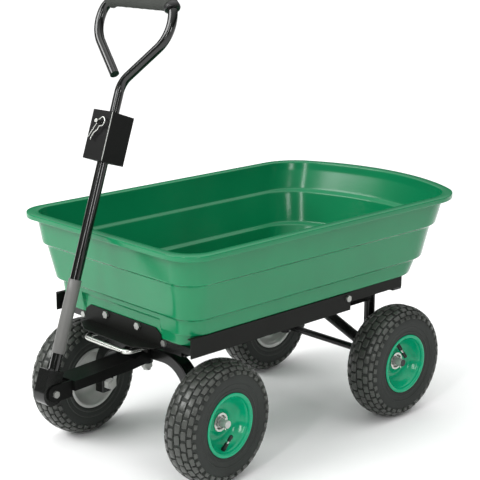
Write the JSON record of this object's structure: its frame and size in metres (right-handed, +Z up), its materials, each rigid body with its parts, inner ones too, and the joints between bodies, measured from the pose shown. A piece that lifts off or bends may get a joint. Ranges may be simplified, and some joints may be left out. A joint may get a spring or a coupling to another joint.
{
  "type": "garden cart",
  "caption": "Four-wheeled garden cart with a moulded tipping tub, steel frame, steered front axle, pneumatic wheels and a folding pull handle.",
  "frame": {"origin": "centre of the bounding box at ground level", "axes": "+Z up, +Y to the rear with the handle at -Y, X across the width"},
  "size_m": [0.5576, 1.0738, 0.976],
  "materials": {
    "green_plastic": "moulded green plastic, slightly glossy",
    "green_paint": "bright green gloss paint",
    "black_paint": "gloss black powder coat",
    "rail_paint": "satin dark grey powder coat",
    "tyre": "black rubber with block tread",
    "tube_rubber": "butyl inner tube",
    "grip_foam": "grey foam grip",
    "sleeve_grey": "matte grey sleeve",
    "zinc": "bright zinc plating"
  },
  "bodies": {
    "chassis": {"chassis_bolster": "black_paint", "chassis_cross_member": "black_paint", "chassis_rail_left": "black_paint", "chassis_rail_right": "black_paint", "kingpin_bolt": "zinc", "latch_keeper": "black_paint", "rear_axle": "black_paint", "rear_axle_fasteners": "zinc", "rear_brace_left": "black_paint", "rear_brace_right": "black_paint", "rear_post_left": "black_paint", "rear_post_right": "black_paint", "tip_pivot_bolts": "zinc"},
    "tub_bed": {"bed_front_bar": "black_paint", "bed_rail_front_left": "rail_paint", "bed_rail_front_right": "rail_paint", "bed_rail_rear_left": "rail_paint", "bed_rail_rear_right": "rail_paint", "latch_springs": "zinc", "rail_joint_bolts": "zinc", "rear_pivot_bar": "black_paint", "tub": "green_plastic", "tub_bolts": "zinc", "tub_front_bracket": "rail_paint"},
    "latch": {"latch_bail": "zinc"},
    "steering": {"axle_arch": "black_paint", "front_axle_fasteners": "zinc", "hinge_bolt": "zinc", "stub_axle_left": "black_paint", "stub_axle_right": "black_paint", "tongue": "black_paint"},
    "handle": {"grip_ring": "black_paint", "handle_grip": "grip_foam", "handle_loop": "black_paint", "handle_stem": "black_paint", "handle_yoke": "black_paint", "hitch_box": "black_paint", "hitch_pin": "zinc", "stem_sleeve": "sleeve_grey"},
    "clip": {"r_clip": "zinc"},
    "wheel_front_left": {"inner_tube_front_left": "tube_rubber", "rim_inner_front_left": "zinc", "rim_outer_front_left": "green_paint", "tyre_front_left": "tyre", "wheel_hub_front_left": "zinc"},
    "wheel_front_right": {"inner_tube_front_right": "tube_rubber", "rim_inner_front_right": "zinc", "rim_outer_front_right": "green_paint", "tyre_front_right": "tyre", "wheel_hub_front_right": "zinc"},
    "wheel_rear_left": {"inner_tube_rear_left": "tube_rubber", "rim_inner_rear_left": "zinc", "rim_outer_rear_left": "green_paint", "tyre_rear_left": "tyre", "wheel_hub_rear_left": "zinc"},
    "wheel_rear_right": {"inner_tube_rear_right": "tube_rubber", "rim_inner_rear_right": "zinc", "rim_outer_rear_right": "green_paint", "tyre_rear_right": "tyre", "wheel_hub_rear_right": "zinc"}
  },
  "joints": [
    {"name": "tub_tip", "type": "hinge", "parent": "chassis", "child": "tub_bed", "pos_m": [0, 0.31286, 0.284], "axis": [-1, 0, 0], "range_deg": [0, 38]},
    {"name": "latch_pull", "type": "slide", "parent": "tub_bed", "child": "latch", "axis": [0, -1, 0], "range_m": [0, 0.018], "stiffness_N_per_m": 600, "springref_m": -0.004},
    {"name": "steering", "type": "hinge", "parent": "chassis", "child": "steering", "pos_m": [0, -0.24314, 0.23], "axis": [0, 0, 1], "range_deg": [-33.7, 24.3]},
    {"name": "handle_pitch", "type": "hinge", "parent": "steering", "child": "handle", "pos_m": [0.02205, -0.51023, 0.218], "axis": [0.9966, 0.0823, 0], "range_deg": [0, 118]},
    {"name": "clip_pull", "type": "slide", "parent": "handle", "child": "clip", "axis": [0.4395, 0.3371, 0.8326], "range_m": [0, 0.045]},
    {"name": "spin_front_left", "type": "hinge", "parent": "steering", "child": "wheel_front_left", "pos_m": [-0.20082, -0.25972, 0.13], "axis": [0.9966, 0.0823, 0], "continuous": true},
    {"name": "spin_front_right", "type": "hinge", "parent": "steering", "child": "wheel_front_right", "pos_m": [0.20082, -0.22656, 0.13], "axis": [0.9966, 0.0823, 0], "continuous": true},
    {"name": "spin_rear_left", "type": "hinge", "parent": "chassis", "child": "wheel_rear_left", "pos_m": [-0.211, 0.31286, 0.13], "axis": [1, 0, 0], "continuous": true},
    {"name": "spin_rear_right", "type": "hinge", "parent": "chassis", "child": "wheel_rear_right", "pos_m": [0.211, 0.31286, 0.13], "axis": [1, 0, 0], "continuous": true}
  ]
}
